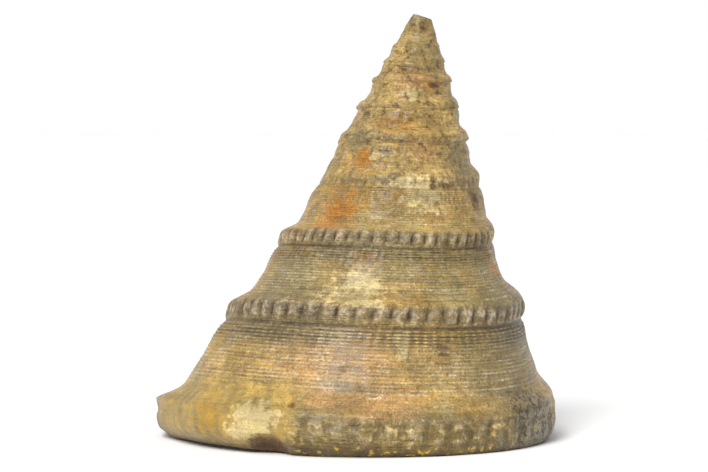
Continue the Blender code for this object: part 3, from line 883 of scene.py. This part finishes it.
def stain_list():
    """The stains that the photograph shows, and others like them on the hidden side."""
    draw = np.random.RandomState(HIDDEN_SEED)
    stains = {kind: list(places) for kind, places in STAINS.items()}
    for kind, number in HIDDEN_STAINS.items():
        for _ in range(number):
            azimuth = draw.uniform(*HIDDEN_AZIMUTHS)
            depth = draw.uniform(*HIDDEN_DEPTHS)
            width, height = draw.uniform(*HIDDEN_SIZES, 2) * relief_size(depth)
            stains[kind].append((azimuth, depth, width, HIDDEN_FLATNESS * height))
    return stains


def stain_field(places, azimuth, depth):
    """How far inside the nearest stain a point is: 1 in its middle, 0 and less outside."""
    field = np.full_like(depth, -1.0)
    for stain_azimuth, stain_depth, width, height in places:
        around = turn_between(azimuth, math.radians(stain_azimuth)) * SPIRE_RATIO * depth
        away = np.abs(around / width) ** STAIN_SQUARENESS
        away = away + np.abs((depth - stain_depth) / height) ** STAIN_SQUARENESS
        field = np.maximum(field, 1.0 - away ** (1.0 / STAIN_SQUARENESS))
    return field


def write_marks(data, surface):
    """Store on the mesh what the stone's material reads."""
    turns, down, azimuth, depth = np.concatenate(surface.places).T
    marks = {name: surface.mark(name) for name in MARKS}
    marks["spire"] = spire_share(depth)
    for name in ("band", "under"):
        marks[name] = marks[name] * (1.0 - SPIRE_BAND_LOSS * marks["spire"])
    for kind, places in stain_list().items():
        marks[kind] = mix(stain_field(places, azimuth, depth), -1.0, marks["base"])
    whole = -np.log(depth / MOUTH_KEEL_DEPTH) / GROWTH
    phase = 2.0 * math.pi * down
    marks["winding"] = STREAK_ACROSS * np.sin(phase) + STREAK_TURNS * whole
    for name, values in marks.items():
        data.attributes.new(name, "FLOAT", "POINT").data.foreach_set("value", values)
    streak = np.stack((STREAK_ROUND * np.cos(azimuth), STREAK_ROUND * np.sin(azimuth),
                       STREAK_ACROSS * np.cos(phase)), axis=-1)
    data.attributes.new("streak", "FLOAT_VECTOR", "POINT").data.foreach_set("vector", streak.ravel())


def build_shell():
    """The fine shell as one closed mesh object."""
    surface = Surface()
    side = add_side(surface)
    base = add_base(surface, side[0][0][1])
    join_turns(surface, side, base)
    cap_tip(surface, side)
    fill_mouth(surface, side, base)
    data = bpy.data.meshes.new(SURFACE)
    data.from_pydata(np.concatenate(surface.points) * METRE, [], surface.faces)
    write_marks(data, surface)
    mesh = bmesh.new()
    mesh.from_mesh(data)
    bmesh.ops.recalc_face_normals(mesh, faces=mesh.faces)
    loose = [vertex for vertex in mesh.verts if not vertex.link_faces]
    bmesh.ops.delete(mesh, geom=loose, context="VERTS")
    mesh.to_mesh(data)
    mesh.free()
    data.shade_smooth()
    data.set_sharp_from_angle(angle=SHARP_ANGLE)
    shell = bpy.data.objects.new(SURFACE, data)
    bpy.context.scene.collection.objects.link(shell)
    return shell


class Wiring:
    """Adds the nodes of one material, or of the world, and links them."""

    def __init__(self, material):
        self.tree = material.node_tree

    def feed(self, socket, value):
        if isinstance(value, bpy.types.NodeSocket):
            self.tree.links.new(value, socket)
        else:
            socket.default_value = value

    def node(self, kind, sockets, **settings):
        node = self.tree.nodes.new(kind)
        for name, value in settings.items():
            setattr(node, name, value)
        for name, value in sockets.items():
            self.feed(node.inputs[name], value)
        return node

    def attribute(self, name):
        node = self.node("ShaderNodeAttribute", {}, attribute_name=name)
        return node.outputs["Vector" if name == "streak" else "Fac"]

    def sum(self, first, second):
        return self.node("ShaderNodeMath", {0: first, 1: second}, operation="ADD").outputs[0]

    def product(self, first, second):
        return self.node("ShaderNodeMath", {0: first, 1: second}, operation="MULTIPLY").outputs[0]

    def ramp(self, value, low, high, start=0.0, end=1.0):
        """Smooth rise from start to end as value goes from low to high."""
        sockets = {"Value": value, "From Min": low, "From Max": high, "To Min": start, "To Max": end}
        return self.node("ShaderNodeMapRange", sockets, interpolation_type="SMOOTHSTEP").outputs[0]

    def blend(self, share, first, second):
        return self.node("ShaderNodeMix", {0: share, 6: first, 7: second}, data_type="RGBA").outputs[2]

    def scale_colour(self, colour, amount):
        """A colour made darker or lighter."""
        sockets = {0: colour, "Scale": amount}
        return self.node("ShaderNodeVectorMath", sockets, operation="SCALE").outputs[0]


class StoneNoise:
    """The noises of the stone, and the layers that follow them."""

    def __init__(self, wiring):
        self.wiring = wiring
        self.textures = {}
        space = {"Vector": wiring.node("ShaderNodeTexCoord", {}).outputs["Object"]}
        coil = {"Vector": wiring.attribute("streak"), "W": wiring.attribute("winding")}
        for name, (size, detail) in GRAINS.items():
            sockets = {**space, "Scale": 1.0 / size, "Detail": detail, "Roughness": GRAIN_ROUGHNESS}
            self.textures[name] = self.texture(sockets, "3D")
        for name, (scale, detail) in STREAKS.items():
            self.textures[name] = self.texture({**coil, "Scale": scale, "Detail": detail}, "4D")

    def texture(self, sockets, dimensions):
        return self.wiring.node("ShaderNodeTexNoise", sockets, noise_dimensions=dimensions).outputs[0]

    def share(self, layer):
        """How much of a layer there is, as its noise rises."""
        name, *levels = LAYERS[layer]
        return self.wiring.ramp(self.textures[name], *levels)

    def share_on(self, mark, layer):
        """How much of a layer there is where the shell carries a mark."""
        return self.wiring.product(self.wiring.attribute(mark), self.share(layer))


def broad_colour(wiring, noises):
    """Tan stone that clouds over to olive, honey, pink and grey, gold and pitted on the spire."""
    colour = wiring.blend(noises.share("tan_clouds"), COLOURS["olive"], COLOURS["tan"])
    colour = wiring.blend(noises.share("honey_clouds"), colour, COLOURS["honey"])
    colour = wiring.blend(noises.share("cream_clouds"), colour, COLOURS["cream"])
    colour = wiring.blend(noises.share_on("spire", "spire_gold"), colour, COLOURS["gold"])
    for kind in ("pink", "honey", "grey"):
        ragged = wiring.sum(wiring.attribute(kind), noises.share("cloud_edge"))
        colour = wiring.blend(wiring.ramp(ragged, *CLOUD_RISE), colour, COLOURS[kind])
    return wiring.blend(noises.share_on("spire", "spire_pits"), colour, COLOURS["rust"])


def grain_and_highlight_colour(wiring, noises, colour):
    """Pale cord tops, partly the stone's own pale lines and partly painted highlight; painted highlight
    specks along the hair lines; and dark grains.
    """
    colour = wiring.blend(noises.share_on("ridge", "pale_ridge_tops_and_highlight"), colour, COLOURS["pale_line_and_highlight"])
    # Painted highlight: pale specks along the hair lines
    painted_glint = wiring.product(noises.share("painted_glints"), noises.share("painted_glint_lines"))
    colour = wiring.blend(painted_glint, colour, COLOURS["pale_line_and_highlight"])
    return wiring.blend(noises.share("dark_grains"), colour, COLOURS["dark_grain_and_crevice_shade"])


def stained_colour(wiring, noises, colour, kind):
    """Lay one kind of stain over the colour, with a ragged edge."""
    ragged = wiring.sum(wiring.attribute(kind), noises.share("stain_edge"))
    ragged = wiring.sum(ragged, noises.share("stain_fray"))
    share = wiring.ramp(ragged, STAIN_START, STAIN_SOFTNESS[kind], 0.0, STAIN_STRENGTH)
    return wiring.blend(share, colour, COLOURS[kind])


def band_colour(wiring, noises, colour):
    """Grey-brown keels, mossy with yellow flecks underneath, painted shade on the foot of the rim and
    painted highlight on the bead tops.
    """
    for mark, kind in (("band", "band"), ("under", "moss"), ("foot", "foot"),
                       ("under", "yellow"), ("bead", "bead_top_highlight")):
        colour = wiring.blend(noises.share_on(mark, kind), colour, COLOURS[kind])
    return colour


def pitted_colour(wiring, noises, colour):
    """Grey-green stone with close dark pits, where the last keel turns away to the right."""
    share = wiring.ramp(wiring.attribute("pitted"), *PITTED_RISE)
    colour = wiring.blend(wiring.product(share, SLATE_SHARE), colour, COLOURS["slate"])
    pits = wiring.product(share, noises.share("dark_pits"))
    return wiring.blend(pits, colour, COLOURS["dark_grain_and_crevice_shade"])


def mould_colour(wiring, noises, colour):
    """Smooth honey stone where the shell wall is gone, and the matrix in the mouth."""
    bare = wiring.sum(wiring.attribute("mould"), wiring.product(wiring.attribute("matrix"), MATRIX_SHARE))
    bare = wiring.product(bare, noises.share("bare_stone"))
    colour = wiring.blend(wiring.product(bare, BARE_SHARE), colour, COLOURS["mould"])
    murky = wiring.product(bare, noises.share("bare_amber"))
    colour = wiring.blend(murky, colour, COLOURS["amber"])
    return wiring.blend(noises.share_on("arc", "bare_arcs"), colour, COLOURS["umber"])


def painted_crevice_shade(wiring, noises, colour):
    """Painted shade: darkens the furrows between the cords, the gaps of the net, the gaps between the beads
    and the lines under the keels.
    """
    broken = wiring.product(noises.textures["lines"], noises.share("net_breaks"))
    shares = (
        noises.share_on("furrow", "furrow"),
        wiring.product(wiring.attribute("net"), wiring.ramp(broken, *NET_RISE)),
        noises.share_on("gap", "gap"),
        noises.share_on("seam", "seam"),
    )
    for share in shares:
        colour = wiring.blend(share, colour, COLOURS["dark_grain_and_crevice_shade"])
    return colour


def stone_light(wiring, noises):
    """How much lighter or darker the noises make the stone; the bare mould is more even."""
    light = 1.0
    for layer in ("line_light", "dust_light", "mottle_light", "speck_light"):
        light = wiring.product(light, noises.share(layer))
    even = wiring.product(wiring.attribute("mould"), MOULD_EVENNESS)
    uneven = wiring.sum(wiring.product(even, -1.0), 1.0)
    return wiring.sum(wiring.product(light, uneven), even)


def stone_colour(wiring, noises):
    """All layers of colour, from the broad clouds to the fine dust, with painted highlight on the cord and
    bead tops and painted shade in the recesses and on the foot of the rim.
    """
    colour = grain_and_highlight_colour(wiring, noises, broad_colour(wiring, noises))
    for kind in ("tawny", "orange"):
        colour = stained_colour(wiring, noises, colour, kind)
    for layer in (band_colour, pitted_colour, mould_colour):
        colour = layer(wiring, noises, colour)
    for kind in ("amber", "cream"):
        colour = stained_colour(wiring, noises, colour, kind)
    colour = painted_crevice_shade(wiring, noises, colour)
    smoky = stained_colour(wiring, noises, colour, "smoke")
    colour = wiring.blend(noises.share("smoke_streaks"), colour, smoky)
    colour = stained_colour(wiring, noises, colour, "rust")
    return wiring.scale_colour(colour, stone_light(wiring, noises))


def stone_material():
    """Honey-coloured fossil stone, waxy and a little translucent."""
    material = bpy.data.materials.new(STONE)
    material.use_nodes = True
    wiring = Wiring(material)
    noises = StoneNoise(wiring)
    shader = material.node_tree.nodes["Principled BSDF"]
    wiring.feed(shader.inputs["Base Color"], stone_colour(wiring, noises))
    wiring.feed(shader.inputs["Roughness"], noises.share("roughness"))
    shader.inputs["Specular IOR Level"].default_value = SPECULAR_LEVEL
    shader.inputs["Coat Weight"].default_value = COAT_WEIGHT
    shader.inputs["Coat Roughness"].default_value = COAT_ROUGHNESS
    shader.inputs["Subsurface Weight"].default_value = SUBSURFACE_WEIGHT
    shader.inputs["Subsurface Radius"].default_value = SUBSURFACE_REACH
    shader.inputs["Subsurface Scale"].default_value = SUBSURFACE_DEPTH
    relief = 0.0
    for name, weight in BUMP_WEIGHTS.items():
        relief = wiring.sum(relief, wiring.product(noises.textures[name], weight))
    sockets = {"Height": relief, "Strength": 1.0, "Distance": BUMP_HEIGHT}
    wiring.feed(shader.inputs["Normal"], wiring.node("ShaderNodeBump", sockets).outputs[0])
    return material


def paper_material():
    """Matt, nearly white paper for the stage."""
    material = bpy.data.materials.new("studio_paper")
    material.use_nodes = True
    shader = material.node_tree.nodes["Principled BSDF"]
    shader.inputs["Base Color"].default_value = (PAPER_SHADE, PAPER_SHADE, PAPER_SHADE, 1.0)
    shader.inputs["Roughness"].default_value = PAPER_ROUGHNESS
    return material


def add_floor():
    half = FLOOR_SIZE / 2.0
    corners = [(-half, -half, 0.0), (half, -half, 0.0), (half, half, 0.0), (-half, half, 0.0)]
    data = bpy.data.meshes.new("floor")
    data.from_pydata(corners, [], [(0, 1, 2, 3)])
    data.materials.append(paper_material())
    floor = bpy.data.objects.new("floor", data)
    bpy.context.scene.collection.objects.link(floor)


def add_lights():
    """White surroundings, darker overhead, with a broad sun and a near window at the front left."""
    world = bpy.data.worlds.new("studio")
    world.use_nodes = True
    wiring = Wiring(world)
    place = wiring.node("ShaderNodeTexCoord", {}).outputs["Generated"]
    height = wiring.node("ShaderNodeSeparateXYZ", {0: place}).outputs["Z"]
    strength = wiring.ramp(height, *HORIZON_HEIGHTS, HORIZON_LIGHT, SKY_LIGHT)
    background = world.node_tree.nodes["Background"]
    background.inputs["Color"].default_value = (1.0, 1.0, 1.0, 1.0)
    wiring.feed(background.inputs["Strength"], strength)
    bpy.context.scene.world = world
    sun = bpy.data.lights.new("sun", "SUN")
    sun.energy = SUN_LIGHT
    sun.angle = SUN_WIDTH
    add_lamp(sun, SUN_PLACE)
    window = bpy.data.lights.new("window", "AREA")
    window.energy = WINDOW_LIGHT
    window.size = WINDOW_SIZE
    add_lamp(window, WINDOW_PLACE)


def add_lamp(light, place):
    """Hang a light at a place, facing the shell."""
    lamp = bpy.data.objects.new(light.name, light)
    lamp.location = place
    lamp.rotation_euler = (-Vector(place)).to_track_quat("-Z", "Y").to_euler()
    bpy.context.scene.collection.objects.link(lamp)


def add_camera():
    """The camera at the photograph's place, level but for a small tilt down."""
    data = bpy.data.cameras.new("camera")
    data.sensor_width = SENSOR_MM
    data.lens = FOCAL_PIXELS * SENSOR_MM / IMAGE_WIDTH
    camera = bpy.data.objects.new("camera", data)
    camera.location = CAMERA_PLACE
    camera.rotation_euler = (math.pi / 2.0 - CAMERA_PITCH, 0.0, 0.0)
    bpy.context.scene.collection.objects.link(camera)
    bpy.context.scene.camera = camera


def main():
    bpy.context.scene.view_settings.view_transform = "Standard"
    shell = build_shell()
    shell.data.materials.append(stone_material())
    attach(shell, "root")
    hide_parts(SHELL)
    add_floor()
    add_lights()
    add_camera()


main()
